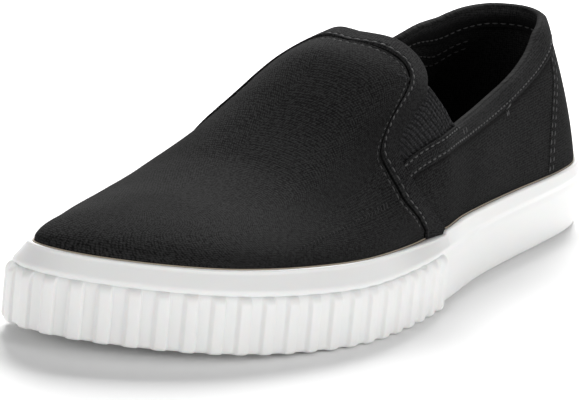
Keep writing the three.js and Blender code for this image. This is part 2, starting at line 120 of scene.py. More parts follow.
# The stitch rows
STITCH_PITCH = 2.6
STITCH_LENGTH = 1.9
STITCH_WIDTH = 0.5
STITCH_SUNK = 0.18      # how deep a stitch lies in its tape
STITCH_AHEAD = 1.9      # the vamp's row ahead of its seam
STITCH_BEHIND = 1.3     # the facing's row behind the vamp's seam
STRAP_STITCH = 1.1      # the strap's rows inside its edges
LINING_STITCH = 1.8     # the inner row above the tape's inner edge
COUNTER_ROWS = (1.4, 4.4)
LINING_ROWS = (3.2, 5.2)    # the lining's double row below the strap
LINING_SPANS = ((0.64, 0.985), (0.015, 0.36))
STRAP_ENDS = (0.425, 0.437)     # shares of the length, like the next ones
BAR_TACKS = (0.284, 0.2885)

# share of the length from the heel, half width, middle's shift, as shares of half the ball width
OUTLINE = np.array([
    (0, 0, -0.01), (0.03, 0.42, -0.012), (0.06, 0.552, -0.012), (0.1, 0.652, -0.008),
    (0.15, 0.703, -0.004), (0.2, 0.726, 0.005), (0.3, 0.735, 0.046), (0.4, 0.75, 0.096),
    (0.5, 0.826, 0.129), (0.6, 0.943, 0.103), (0.68, 1, 0.075), (0.74, 0.976, 0.071),
    (0.8, 0.893, 0.058), (0.85, 0.796, 0.041), (0.9, 0.667, 0.005), (0.95, 0.485, -0.085),
    (0.98, 0.315, -0.15), (1, 0, -0.185)])
# share of the length, crest height, lean, fullness, swell
SECTIONS = np.array([
    (0, 1.17, 0, 2, -2.8), (0.15, 1.17, 0, 2, -2.7), (0.3, 1.14, 0.02, 2, -1.9),
    (0.42, 1.06, 0.03, 2, -0.8), (0.5, 0.998, 0.05, 2.2, 0), (0.54, 0.962, 0.02, 2.0, 0),
    (0.58, 0.862, -0.01, 1.87, 0), (0.62, 0.75, -0.035, 1.8, 0), (0.66, 0.65, -0.05, 1.77, 0),
    (0.7, 0.573, -0.06, 1.72, 0), (0.76, 0.526, -0.06, 1.68, 0), (0.82, 0.512, -0.07, 1.75, 0),
    (0.88, 0.502, -0.08, 1.8, 0), (1, 0.492, -0.08, 1.8, 0)])
# lines on the surface: share of the length, rise
STRAP_TOP = np.array([
    (0, 0.511), (0.035, 0.507), (0.078, 0.497), (0.123, 0.474), (0.15, 0.441),
    (0.187, 0.403), (0.2385, 0.368), (0.293, 0.346), (0.361, 0.335), (0.411, 0.336),
    (0.443, 0.338), (0.511, 0.344), (0.555, 0.350), (0.587, 0.369), (0.64, 0.40)])
STRAP_FOOT = np.array([
    (0, 0.420), (0.035, 0.413), (0.078, 0.390), (0.117, 0.358), (0.18, 0.319),
    (0.24, 0.290), (0.292, 0.269), (0.342, 0.259), (0.41, 0.258), (0.474, 0.262),
    (0.52, 0.264), (0.548, 0.266), (0.577, 0.280), (0.64, 0.32)])
COLLAR_START = 0.457
# how much higher the medial collar stands, as a rise; it grows and fades between these shares
MEDIAL_LIFT = 0.054
LIFT_SHARES = (0.115, 0.205, 0.2, 0.46)
# steep lines on the surface: rise, share of the length
FACING_EDGE = np.array([
    (0, 0.519), (0.064, 0.541), (0.174, 0.565), (0.283, 0.578), (0.337, 0.5825), (0.389, 0.580),
    (0.431, 0.574), (0.455, 0.561), (0.475, 0.541), (0.513, 0.517), (0.561, 0.4926), (0.585, 0.479),
    (0.619, 0.4684), (0.685, 0.462), (0.776, 0.4618), (0.856, 0.4652), (0.93, 0.4695), (1, 0.4725)])
SEAM = np.array([
    (0, 0.5585), (0.058, 0.5716), (0.214, 0.5998), (0.341, 0.6041), (0.435, 0.602), (0.473, 0.5977),
    (0.501, 0.5868), (0.525, 0.5694), (0.545, 0.5498), (0.581, 0.5278), (0.637, 0.5085),
    (0.707, 0.4965), (0.764, 0.4948), (0.87, 0.497), (0.95, 0.5015), (1, 0.504)])
COUNTER_EDGE = np.array([
    (0, 0.193), (0.1, 0.177), (0.184, 0.156), (0.28, 0.126), (0.36, 0.11), (0.45, 0.1)])
COUNTER_TUCK = 0.01     # how far the counter reaches under the strap, as a rise
# the row of pulled threads: share of the length, rise
PULLED = np.array([(0.632, 0.273), (0.688, 0.297), (0.746, 0.287), (0.8, 0.21)])
THROAT_HEIGHT = FOXING_HEIGHT + (INSTEP_HEIGHT - FOXING_HEIGHT) * 0.784
# the rubber rim's inner edge, behind and ahead of the notch: share of the length, height
NOTCH = 0.523
NOTCH_HALF = 0.0015
NOTCH_BLEND = (0.05, 0.1)   # the rim's lean changes over these shares, behind and ahead of the notch
REAR_RIM = np.array([(0, 19.9), (0.15, 20.0), (0.28, 20.5), (0.4, 21.0), (0.47, 21.8), (0.53, 21.0)])
FORE_RIM = np.array([(0.5, 19.9), (0.574, 20.3), (0.63, 20.95), (0.68, 21.45), (0.75, 21.95), (0.85, 21.9),
                     (0.95, 21.65), (1, 21.6)])
# the gore's free edge from the throat to the collar: share of its height, share of its length
GORE_EDGE = np.array([(0, 0), (0.28, 0.18), (0.59, 0.48), (0.91, 0.75), (1, 1)])


def step_between(x, low, high):
    s = np.clip((x - low) / (high - low), 0, 1)
    return s * s * (3 - 2 * s)


def bell(x, middle, width):
    return np.exp(-((x - middle) / width) ** 2)


def smooth_curve(xs, ys, x):
    """Smooth curve through the points xs, ys"""
    xs, ys, x = np.asarray(xs, float), np.asarray(ys, float), np.asarray(x, float)
    last = len(xs) - 1
    before, after = np.maximum(np.arange(last + 1) - 1, 0), np.minimum(np.arange(last + 1) + 1, last)
    slope = (ys[after] - ys[before]) / (xs[after] - xs[before])
    i = np.clip(np.searchsorted(xs, x, side="left") - 1, 0, last - 1)
    step = xs[i + 1] - xs[i]
    s = (x - xs[i]) / step
    s2, s3 = s * s, s * s * s
    return (ys[i] * (2 * s3 - 3 * s2 + 1) + ys[i + 1] * (3 * s2 - 2 * s3)
            + step * (slope[i] * (s3 - 2 * s2 + s) + slope[i + 1] * (s3 - s2)))


def angle_of(share):
    return np.arccos(1 - 2 * np.clip(share, 0, 1))


def column(table, key, share):
    return smooth_curve(angle_of(table[:, 0]), table[:, key], angle_of(share))


def along_y(share):
    return SOLE_LENGTH * (0.5 - share)


def share_of(turn):
    return (1 - np.cos(2 * np.pi * turn)) / 2


def turn_of(share):
    return angle_of(share) / (2 * np.pi)


def rim_top(share):
    """Height of the rubber rim, with the notch where the toe's foxing starts"""
    rear = smooth_curve(REAR_RIM[:, 0], REAR_RIM[:, 1], np.minimum(share, REAR_RIM[-1, 0]))
    ahead = smooth_curve(FORE_RIM[:, 0], FORE_RIM[:, 1], np.maximum(share, FORE_RIM[0, 0]))
    past = step_between(share, NOTCH - NOTCH_HALF, NOTCH + NOTCH_HALF)
    return rear + (ahead - rear) * past + spring(share)


def leaning(blend):
    """How far a leaning wall is set back: blend is 0 behind the waist, 1 ahead of it"""
    return WALL_SETBACK + HEEL_LEAN + (FOXING_LEAN - HEEL_LEAN) * blend


def rim_inset(share):
    return leaning(step_between(share, NOTCH - NOTCH_BLEND[0], NOTCH + NOTCH_BLEND[1]))


def spring(share):
    past = np.maximum((share - SPRING_START) / (1 - SPRING_START), 0)
    return TOE_SPRING * past * past


def fore(share):
    return step_between(share, *LEAN_SHARES)


def foxing_inset(share):
    return leaning(fore(share))


def foxing_top(share):
    return HEEL_FOXING + (FOXING_HEIGHT - HEEL_FOXING) * fore(share) + spring(share)


def floor_height(share):
    return HEEL_FLOOR + (FORE_FLOOR - HEEL_FLOOR) * step_between(share, *FLOOR_SHARES) + spring(share)


def cup_inset(share):
    return foxing_inset(share) + FOXING_LIP


def upper_inset(share):
    return cup_inset(share) + CLEARANCE


def outline(turn):
    share = share_of(turn)
    side = np.sign(np.sin(2 * np.pi * turn))
    x = HALF_BALL * (column(OUTLINE, 2, share) + side * column(OUTLINE, 1, share))
    return np.stack([x, along_y(share)], -1)


def inset(turn, depth):
    """The outline moved in by depth along its normal"""
    way = outline(turn + 1e-4) - outline(turn - 1e-4)
    way /= np.linalg.norm(way, axis=-1, keepdims=True)
    normal = np.stack([way[..., 1], -way[..., 0]], -1)
    return outline(turn) + normal * np.asarray(depth)[..., None]


def crest_share(share):
    off = share - 0.5
    reach = np.where(off > 0, 2 * (1 - CREST_ENDS[1]), 2 * CREST_ENDS[0])
    return 0.5 + off * (1 - reach * np.abs(2 * off) ** CREST_EASE)


def skin(turn, rise, depth=0.0):
    """Point of the upper's surface: rise 0 is the foxing's top, 1 the crest, depth runs inwards.
    Below 0 the surface goes straight down into the cup, a tenth of a rise for each millimetre"""
    turn, rise, depth = np.broadcast_arrays(*(np.asarray(v, float) for v in (turn, rise, depth)))
    share = share_of(turn)
    top = crest_share(share)
    base = inset(turn, upper_inset(share) + depth)
    pull = 1 - depth / (SOLE_LENGTH * (CREST_ENDS[1] - 0.5)) * np.abs(top - 0.5) * 2
    crest = np.stack([HALF_BALL * column(SECTIONS, 2, top), along_y(0.5 + (top - 0.5) * pull)], -1)
    crest_height = INSTEP_HEIGHT * column(SECTIONS, 1, top) - depth
    angle = np.clip(rise, 0, 1) * np.pi / 2
    power = 2 / column(SECTIONS, 3, top)
    inwards = 1 - np.maximum(np.cos(angle), 0) ** power
    upwards = np.sin(angle) ** power
    swell = WALL * column(SECTIONS, 4, share) * np.sin(2 * angle)
    out = base - crest
    out /= np.linalg.norm(out, axis=-1, keepdims=True)
    flat = base + (crest - base) * inwards[..., None] + out * swell[..., None]
    low = foxing_top(share)
    z = low + (crest_height - low) * upwards + np.minimum(rise, 0) * 10
    return np.concatenate([flat, z[..., None]], -1)


RISES = np.linspace(0, 1, 241)
TURNS = np.linspace(0, 1, 1601)
LINE_TURNS = {name: turn_of(smooth_curve(table[:, 0], table[:, 1], np.minimum(RISES, table[-1, 0])))
              for name, table in (("rear", FACING_EDGE), ("front", SEAM), ("counter", COUNTER_EDGE))}
STRAP_RISES = {name: column(table, 1, np.minimum(share_of(TURNS), table[-1, 0]))
               for name, table in (("top", STRAP_TOP), ("foot", STRAP_FOOT))}


def turn_at(name, rise, medial):
    """The turn of a steep line, read from its table"""
    turn = np.interp(rise, RISES, LINE_TURNS[name])
    return 1 - turn if medial else turn


def rise_at(name, turn):
    """The rise of a level line, read from its table; the medial side stands a little higher"""
    turn = np.mod(turn, 1.0)
    share = share_of(turn)
    lift = step_between(share, *LIFT_SHARES[:2]) * (1 - step_between(share, *LIFT_SHARES[2:]))
    return np.interp(turn, TURNS, STRAP_RISES[name]) + MEDIAL_LIFT * lift * (turn > 0.5)


def on_side(y, z, medial=False, depth=0.0):
    """(turn, rise) of the surface's point at y, z in the side view"""
    y, z = np.broadcast_arrays(np.asarray(y, float), np.asarray(z, float))
    turn, rise = turn_of(0.5 - y / SOLE_LENGTH), np.full(y.shape, 0.35)
    tiny = 1e-4

    def at(t, r):
        return skin(1 - t if medial else t, r, depth)[..., 1:]
    for _ in range(25):
        here = at(turn, rise)
        by_turn, by_rise = (at(turn + tiny, rise) - here) / tiny, (at(turn, rise + tiny) - here) / tiny
        miss = np.stack([y, z], -1) - here
        det = by_turn[..., 0] * by_rise[..., 1] - by_turn[..., 1] * by_rise[..., 0]
        turn_step = (miss[..., 0] * by_rise[..., 1] - miss[..., 1] * by_rise[..., 0]) / det
        rise_step = (by_turn[..., 0] * miss[..., 1] - by_turn[..., 1] * miss[..., 0]) / det
        turn = turn + np.clip(turn_step, -0.02, 0.02)
        rise = np.clip(rise + np.clip(rise_step, -0.1, 0.1), 0.0, 0.99)
    return (1 - turn if medial else turn), rise


# Mesh tools

def deselect():
    bpy.ops.object.select_all(action="DESELECT")


def pick(piece):
    deselect()
    piece.select_set(True)
    bpy.context.view_layer.objects.active = piece


def run_along(points, axis=0):
    """Lengths run along a line of points, or along one axis of a grid of them"""
    steps = np.linalg.norm(np.diff(points, axis=axis), axis=-1)
    return np.insert(np.cumsum(steps, axis), 0, 0, axis)


def grid(name, points, row, merge=0.0, painted_shade=None):
    """A grid primitive whose points are laid on points[row, column], with its UV map in millimetres.
    The given row lies on an outer face, away from the shoe's middle. The last argument, from 0 to 1, is how
    much painted shade darkens the cloth at each point"""
    rows, columns = points.shape[:2]
    spot = columns // 4
    here = points[row, spot]
    normal = np.cross(points[row, spot + 1] - here, points[row + 1, spot] - here)
    middle_height = 20
    flip = normal @ (here - np.array([0, here[1], middle_height])) < 0
    deselect()
    bpy.ops.mesh.primitive_grid_add(x_subdivisions=columns - 1, y_subdivisions=rows - 1, size=1)
    piece = bpy.context.object
    piece.name = piece.data.name = name
    if len(piece.data.vertices) != rows * columns:
        raise ValueError(f"{name}: {len(piece.data.vertices)} points for {rows} by {columns}")
    laid = (points + FRAME_SHIFT).reshape(-1, 3) / MM_PER_M
    piece.data.vertices.foreach_set("co", laid.astype(np.float32).ravel())
    across = np.broadcast_to(run_along(points, 1)[rows // 2], (rows, columns))
    flat = np.stack([across, run_along(points, 0)], -1).reshape(-1, 2)
    corner = np.zeros(len(piece.data.loops), np.int32)
    piece.data.loops.foreach_get("vertex_index", corner)
    piece.data.uv_layers.active.data.foreach_set("uv", flat[corner].astype(np.float32).ravel())
    if painted_shade is not None:
        depth = piece.data.attributes.new("painted_shade", "FLOAT", "POINT")
        depth.data.foreach_set("value", painted_shade.astype(np.float32).ravel())
    bpy.ops.object.mode_set(mode="EDIT")
    bpy.ops.mesh.select_all(action="SELECT")
    if flip:
        bpy.ops.mesh.flip_normals()
    if merge:
        bpy.ops.mesh.remove_doubles(threshold=merge / MM_PER_M)
    bpy.ops.object.mode_set(mode="OBJECT")
    piece.data.update()
    bpy.ops.object.shade_smooth()
    return piece


def modify(piece, kind, **settings):
    pick(piece)
    made = piece.modifiers.new(kind.title(), kind)
    for key, value in settings.items():
        setattr(made, key, value)
    bpy.ops.object.modifier_apply(modifier=made.name)


def thicken(piece, thickness, lining=0):
    """Gives a sheet its wall towards the inside, with the lining's material on the inner face"""
    modify(piece, "SOLIDIFY", thickness=thickness / MM_PER_M, offset=-1, use_even_offset=False,
           material_offset=lining, material_offset_rim=0)


def finished(piece, nodes, slot, *materials):
    """Dresses a piece, lets it ride on the shoe and stand for its nodes"""
    for material in materials:
        if material.name not in [m.name for m in piece.data.materials if m]:
            piece.data.materials.append(material)
    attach(piece, "root")
    if nodes:
        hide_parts(*nodes)
    return piece


# Materials

def colour(text):
    """sRGB hex to linear"""
    parts = [int(text[i:i + 2], 16) / 255 for i in (1, 3, 5)]
    return tuple(c / 12.92 if c <= 0.04045 else ((c + 0.055) / 1.055) ** 2.4 for c in parts) + (1.0,)


def add(tree, kind, inputs=None, **settings):
    """Adds a node with its settings; an input is a value or the output that feeds it"""
    made = tree.nodes.new(kind)
    for key, value in settings.items():
        setattr(made, key, value)
    for key, value in (inputs or {}).items():
        if isinstance(value, bpy.types.NodeSocket):
            tree.links.new(value, made.inputs[key])
        else:
            made.inputs[key].default_value = value
    return made


def blank(name):
    material = bpy.data.materials.new(name)
    material.use_nodes = True
    tree = material.node_tree
    tree.nodes.clear()
    output = add(tree, "ShaderNodeOutputMaterial")
    surface = add(tree, "ShaderNodeBsdfPrincipled")
    tree.links.new(surface.outputs[0], output.inputs["Surface"])
    return material, tree, surface


THREAD_PITCH = 0.8      # twice that of the real cloth, which would be too fine to show
TONE_MIDDLE, TONE_SWING = 1.49, 0.2
# the colour of painted shade, mixed into the cloth in seam folds, beside tape edges, between the elastic's
# ribs and inside the collar
PAINTED_SHADE_COLOUR = "#0c0c0c"


def woven(name, dark, light, thread_width):
    """Plain woven cotton: slubby threads crossing at right angles, which gives the eye a heathered,
    cross-hatched tone and no gloss. The threads follow the cloth through its UV map in millimetres"""
    material, tree, surface = blank(name)
    place = add(tree, "ShaderNodeUVMap").outputs[0]
    solid = add(tree, "ShaderNodeTexCoord").outputs["Object"]
    # a thread is about three times longer than wide before its thickness changes
    wide, long = 1 / thread_width, 1 / (3 * thread_width)
    # one band of the wave for each thread: the wave repeats every 20 / (2 pi) of its scale
    band_scale = math.pi / (10 * THREAD_PITCH)
    slubs, bands = [], []
    for lengthwise in (True, False):
        scale = (long, wide, 1) if lengthwise else (wide, long, 1)
        laid = add(tree, "ShaderNodeMapping", {"Vector": place, "Scale": scale}).outputs[0]
        slub = add(tree, "ShaderNodeTexNoise",
                   {"Vector": laid, "Scale": 1.0, "Detail": 2.0, "Roughness": 0.8})
        band = add(tree, "ShaderNodeTexWave",
                   {"Vector": place, "Scale": band_scale, "Distortion": 0.8, "Detail": 1.0,
                    "Detail Scale": 1.5}, bands_direction="Y" if lengthwise else "X")
        slubs.append(slub.outputs["Fac"])
        bands.append(band.outputs["Fac"])
    weave = add(tree, "ShaderNodeMath", {0: bands[0], 1: bands[1]}, operation="MULTIPLY").outputs[0]
    slub = add(tree, "ShaderNodeMath", {0: slubs[0], 1: slubs[1]}, operation="ADD").outputs[0]
    crossing = add(tree, "ShaderNodeMath", {0: weave, 1: 0.35, 2: slub},
                   operation="MULTIPLY_ADD").outputs[0]
    fuzz = add(tree, "ShaderNodeTexNoise", {"Vector": solid, "Scale": 1100.0, "Detail": 2.0}).outputs["Fac"]
    patch = add(tree, "ShaderNodeTexNoise", {"Vector": solid, "Scale": 30.0, "Detail": 2.0}).outputs["Fac"]
    mottle = add(tree, "ShaderNodeMath", {0: patch, 1: 0.3, 2: crossing},
                 operation="MULTIPLY_ADD").outputs[0]
    tone = add(tree, "ShaderNodeMath", {0: fuzz, 1: 0.5, 2: mottle}, operation="MULTIPLY_ADD").outputs[0]
    share = add(tree, "ShaderNodeMapRange",
                {"Value": tone, "From Min": TONE_MIDDLE - TONE_SWING, "From Max": TONE_MIDDLE + TONE_SWING})
    dye_and_painted_shade = add(tree, "ShaderNodeMix", {"Factor": share.outputs[0], 6: colour(dark), 7: colour(light)},
               data_type="RGBA")
    # painted shade: the cloth is mixed towards the shade colour in the vamp's seam fold, beside the tapes'
    # edges, between the elastic's ribs and on the collar tape's inner side
    painted_shade = add(tree, "ShaderNodeAttribute", attribute_name="painted_shade").outputs["Fac"]
    shaded = add(tree, "ShaderNodeMix", {"Factor": painted_shade, 6: dye_and_painted_shade.outputs[2], 7: colour(PAINTED_SHADE_COLOUR)},
                 data_type="RGBA")
    tree.links.new(shaded.outputs[2], surface.inputs["Base Color"])
    height = add(tree, "ShaderNodeMath", {0: fuzz, 1: 0.5, 2: crossing},
                 operation="MULTIPLY_ADD").outputs[0]
    bump = add(tree, "ShaderNodeBump", {"Height": height, "Strength": 0.4, "Distance": 0.0004})
    tree.links.new(bump.outputs[0], surface.inputs["Normal"])
    surface.inputs["Roughness"].default_value = 0.92
    surface.inputs["Specular IOR Level"].default_value = 0.05
    return material


def spun_thread(name, dark, light):
    """Spun polyester thread: a little lighter than the cloth, with a faint satin gleam"""
    material, tree, surface = blank(name)
    place = add(tree, "ShaderNodeTexCoord").outputs["Object"]
    fibre = add(tree, "ShaderNodeTexNoise", {"Vector": place, "Scale": 700.0, "Detail": 2.0}).outputs["Fac"]
    tint = add(tree, "ShaderNodeMix", {"Factor": fibre, 6: colour(dark), 7: colour(light)},
               data_type="RGBA")
    tree.links.new(tint.outputs[2], surface.inputs["Base Color"])
    bump = add(tree, "ShaderNodeBump", {"Height": fibre, "Strength": 0.3, "Distance": 0.0001})
    tree.links.new(bump.outputs[0], surface.inputs["Normal"])
    surface.inputs["Roughness"].default_value = 0.6
    surface.inputs["Specular IOR Level"].default_value = 0.3
    return material


def moulded_rubber(name, dark, light):
    """Vulcanised white rubber: an off-white face with a soft gloss and a very fine mould grain"""
    material, tree, surface = blank(name)
    place = add(tree, "ShaderNodeTexCoord").outputs["Object"]
    cloud = add(tree, "ShaderNodeTexNoise", {"Vector": place, "Scale": 22.0, "Detail": 3.0}).outputs["Fac"]
    grain = add(tree, "ShaderNodeTexNoise", {"Vector": place, "Scale": 1400.0, "Detail": 2.0}).outputs["Fac"]
    tint = add(tree, "ShaderNodeMix", {"Factor": cloud, 6: colour(dark), 7: colour(light)},
               data_type="RGBA")
    tree.links.new(tint.outputs[2], surface.inputs["Base Color"])
    rough = add(tree, "ShaderNodeMapRange", {"Value": cloud, "To Min": 0.42, "To Max": 0.56})
    tree.links.new(rough.outputs[0], surface.inputs["Roughness"])
    bump = add(tree, "ShaderNodeBump", {"Height": grain, "Strength": 0.12, "Distance": 0.0001})
    tree.links.new(bump.outputs[0], surface.inputs["Normal"])
    surface.inputs["Subsurface Weight"].default_value = 0.1
    surface.inputs["Subsurface Scale"].default_value = 0.002
    return material


canvas = woven("woven_cotton_canvas", "#0e0e0e", "#2d2d2d", 0.42)
tape = woven("folded_canvas_tape", "#111112", "#303030", 0.42)
lining = woven("twill_lining", "#0e0e0e", "#1d1d1d", 0.5)
elastic = woven("ribbed_elastic", "#202021", "#3e3e3f", 0.4)
thread = spun_thread("spun_polyester_thread", "#363636", "#5c5c5c")
fine_thread = spun_thread("fine_polyester_thread", "#2c2c2c", "#484848")
pulled_thread = spun_thread("pulled_cotton_thread", "#161616", "#262626")
lining_thread = spun_thread("lining_thread", "#363636", "#5a5a5a")
sock = woven("sock_cloth", "#070707", "#0e0e0e", 0.6)
rubber = moulded_rubber("vulcanised_rubber", "#e5e5e4", "#ebebea")
cement = moulded_rubber("dried_cement", "#a39482", "#bcae9b")


# The rubber sole

def ring(turns, inset_by, height):
    flat = inset(turns, inset_by)
    return np.concatenate([flat, np.broadcast_to(height, turns.shape)[..., None]], -1)


def to_middle(edge, turns, shares):
    """Rows that run from an edge to the shoe's middle line"""
    share = share_of(turns)
    middle = np.stack([HALF_BALL * column(OUTLINE, 2, share), edge[:, 1], edge[:, 2]], -1)
    return [edge + (middle - edge) * s for s in shares]


def grooves():
    """The middles of the tread's grooves along the shoe; the waist has none"""
    pitch = (SOLE_LENGTH - 2 * TREAD_END) / GROOVE_COUNT
    y = (np.arange(GROOVE_COUNT) + 0.5) * pitch + TREAD_END - SOLE_LENGTH / 2
    share = 0.5 - y / SOLE_LENGTH
    return share[(share < WAIST[0]) | (share > WAIST[1])]


def underside(edge, share):
    """Rows from the middle line to the edge of the underside, with the tread's grooves and the
    shallow hollow under the waist, inside an uncut rim"""
    away = np.abs(share[:, None] - grooves()).min(1) * SOLE_LENGTH
    half_groove = GROOVE_WIDTH / 2
    cut = TREAD_DEPTH * (1 - step_between(away, half_groove - GROOVE_FLANK, half_groove + GROOVE_FLANK))
    waist = np.abs(share - sum(WAIST) / 2) * SOLE_LENGTH
    cut = cut + HOLLOW_DEPTH * (1 - step_between(waist, HOLLOW_LENGTH / 2 - 4, HOLLOW_LENGTH / 2))
    middle = np.stack([HALF_BALL * column(OUTLINE, 2, share), edge[:, 1], edge[:, 2]], -1)
    half = np.maximum(np.abs(edge[:, 0] - middle[:, 0]), 1)
    rim = np.minimum(TREAD_RIM / half, 0.9)
    rows = []
    for inner in np.linspace(1, 0, 8):
        rows.append(edge + (middle - edge) * (rim + (1 - rim) * inner)[:, None])
        rows[-1][:, 2] += cut
    for part in (0.94, 0.75, 0.55, 0.4, 0.25, 0.1):
        rows.append(edge + (middle - edge) * (rim * part)[:, None])
    return rows


def make_sole():
    # the turns lie closer together at the notch, the toe band's ends and the tread's grooves
    even = np.linspace(0, 1, 481)
    near_notch = NOTCH + np.linspace(-0.006, 0.03, 37)
    near_end = BAND_END + np.linspace(-0.003, 0.003, 9)
    close = turn_of(np.concatenate([near_notch, near_end]))
    flank = GROOVE_WIDTH / 2 + np.array([[-GROOVE_FLANK], [GROOVE_FLANK]])
    flanks = turn_of((grooves() + np.concatenate([-flank, flank]) / SOLE_LENGTH).ravel())
    turns = np.unique(np.round(np.concatenate([even, close, 1 - close, flanks, 1 - flanks]), 6))
    share = share_of(turns)
    lift = spring(share)
    banded = step_between(share, BAND_END - 0.0012, BAND_END)
    low = WALL_SETBACK + (BAND_THICKNESS + CLEARANCE - WALL_SETBACK) * banded
    top = rim_top(share)
    lean, cup, floor = rim_inset(share), cup_inset(share), floor_height(share)
    rows = underside(ring(turns, low + EDGE_ROUND, lift), share)
    for a in np.linspace(0, np.pi / 2, 6):
        rows.append(ring(turns, low + EDGE_ROUND * (1 - np.sin(a)), lift + EDGE_ROUND * (1 - np.cos(a))))
    for h in np.linspace(EDGE_ROUND + 1, LEDGE_HEIGHT - 2.0, 6):
        rows.append(ring(turns, low, lift + h))
    # a shallow crease in the plain wall; behind the toe band the wall starts here
    crease = CREASE_DEPTH * (1 - banded)
    for h, hollow in CREASE:
        wall = low if h < -1 else WALL_SETBACK
        rows.append(ring(turns, wall + crease * hollow, lift + LEDGE_HEIGHT + h))
    foot, brow = lift + LEDGE_HEIGHT + CREASE_END, top - RIM_ROUND
    for s in np.linspace(0, 1, 8):
        rows.append(ring(turns, WALL_SETBACK + (lean - WALL_SETBACK) * s, foot + (brow - foot) * s))
    for a in np.linspace(0.2, np.pi, 8):
        across = (lean + cup) / 2 - np.cos(a) * (cup - lean) / 2
        rows.append(ring(turns, across, brow + RIM_ROUND * np.sin(a)))
    rows.append(ring(turns, cup, (top + floor) / 2))
    rows.append(ring(turns, cup, floor))
    rows += to_middle(rows[-1], turns, np.linspace(0.05, 1, 6))
    return finished(grid("cup_sole", np.array(rows), 24, merge=0.02), ["sole"], "rubber_white", rubber)


def band_turns():
    """Turns round the toe from the lateral to the medial end of the band, and the length run to each"""
    start = float(turn_of(BAND_END))
    fine = np.linspace(start, 1 - start, 8001)
    return fine, run_along(outline(fine))


def make_band():
    fine, length = band_turns()
    total = length[-1]
    count = round(total / RIB_PITCH - RIB_SHARE)
    pitch = total / (count + RIB_SHARE)
    arc = np.linspace(0, total, 1400)
    turns = np.interp(arc, length, fine)
    share = share_of(turns)
    lift = spring(share)
    # one rib and one groove to a pitch, with soft flanks
    phase = np.mod(arc, pitch)
    rib = pitch * RIB_SHARE
    falls = step_between(phase, rib - RIB_FLANK / 2, rib + RIB_FLANK / 2)
    climbs = step_between(phase, pitch - RIB_FLANK / 2, pitch)
    groove = falls * (1 - climbs)
    crown = RIB_CROWN * np.clip(np.abs(phase - rib / 2) / (rib / 2), 0, 1) ** 2 * (1 - groove)
    face = RIB_DEPTH * groove + crown
    rows = [ring(turns, BAND_THICKNESS, lift), ring(turns, face + BAND_ROUND, lift)]
    for a in np.linspace(0.3, np.pi / 2, 4):
        rows.append(ring(turns, face + BAND_ROUND * (1 - np.sin(a)), lift + BAND_ROUND * (1 - np.cos(a))))
    for h in np.linspace(2.2, LEDGE_HEIGHT - 3.2, 6):
        rows.append(ring(turns, face, lift + h))
    # the top runs into the wall above it
    end, shoulder = WALL_SETBACK + CLEARANCE, LEDGE_HEIGHT - BAND_SHOULDER
    for a in np.linspace(0.25, np.pi / 2, 8):
        across = face + (end - face) * (1 - np.cos(a))
        rows.append(ring(turns, across, lift + shoulder + SHOULDER_RISE * np.sin(a)))
    rows.append(ring(turns, BAND_THICKNESS, lift + LEDGE_HEIGHT))
    rows.append(rows[0])
    piece = grid("ribbed_toe_band", np.array(rows), 8, merge=0.02)
    pick(piece)
    bpy.ops.object.mode_set(mode="EDIT")
    bpy.ops.mesh.select_all(action="DESELECT")
    bpy.ops.mesh.select_mode(type="EDGE")
    bpy.ops.mesh.select_non_manifold()
    bpy.ops.mesh.edge_face_add()
    bpy.ops.object.mode_set(mode="OBJECT")
    return finished(piece, ["ribbed_band"], "rubber_white", rubber)


def make_insole():
    turns = np.linspace(0, 1, 241)
    share = share_of(turns)
    wall_face = upper_inset(share) + WALL + CLEARANCE
    low = floor_height(share) + CLEARANCE
    rows = to_middle(ring(turns, wall_face + SOCK_FOOT, low), turns, np.linspace(1, 0.1, 6))
    for a in np.linspace(-np.pi / 2, np.pi / 2, 8):
        height = low + INSOLE_THICKNESS * (1 + np.sin(a)) / 2
        rows.append(ring(turns, wall_face + SOCK_ROUND * (1 - np.cos(a)), height))
    rows += to_middle(rows[-1], turns, np.linspace(0.1, 1, 8))
    return finished(grid("sock", np.array(rows), 9, merge=0.02), ["insole"], "sock_cloth", sock)


# The canvas panels

def lowest(turn):
    """The rise below 0 at which a panel stands on the cup's floor"""
    share = share_of(turn)
    return (floor_height(share) + CLEARANCE - foxing_top(share)) / 10


def creases(turn, rise):
    """Soft hollows in the vamp's cloth"""
    share = share_of(turn)
    lateral = step_between(np.sin(2 * np.pi * turn), -0.1, 0.2)
    return 0.35 * bell(share - 0.1 * rise, 0.6, 0.02) * bell(rise, 0.3, 0.2) * lateral


def make_vamp():
    rises = np.concatenate([[-1, -0.1], np.linspace(0, 1, 84)])
    even = np.linspace(0, 1, 381)
    cols = even - 0.125 * np.sin(2 * np.pi * even)      # closer together at the seams
    under = 0.5         # share of the facing's width that the vamp reaches under
    rows, fold_shade = [], []
    for r in rises:
        at = max(r, 0.0)
        ends, ahead = [], []
        for medial in (False, True):
            rear, front = (turn_at(line, at, medial) for line in ("rear", "front"))
            ends.append(front + (rear - front) * under)
        turn = ends[0] + (ends[1] - ends[0]) * cols
        for medial in (False, True):
            rear, front = (turn_at(line, at, medial) for line in ("rear", "front"))
            width = np.linalg.norm(skin(rear, at) - skin(front, at))
            ahead.append((turn - front) / (front - rear) * width)
        ahead = np.minimum(*ahead)
        fold = bell(ahead, FOLD_AHEAD, FOLD_WIDTH)
        roll = ROLL_HEIGHT * bell(ahead, ROLL_AHEAD, ROLL_WIDTH)
        pulled = PULL_DEPTH * bell(ahead, STITCH_AHEAD, PULL_WIDTH)
        rise = lowest(turn) if r < -0.1 else np.full(turn.shape, r)
        rows.append(skin(turn, rise, creases(turn, at) + FOLD_DEPTH * fold - roll + pulled))
        # painted shade: the cloth darkens in the fold at its seam, just ahead of the facing's edge
        fold_shade.append(np.clip(fold * 1.1, 0, 1))
    piece = grid("vamp", np.array(rows), 30, merge=0.01, painted_shade=np.array(fold_shade))
    thicken(piece, WALL, lining=1)
    return finished(piece, ["upper"], "canvas_charcoal", canvas, lining)


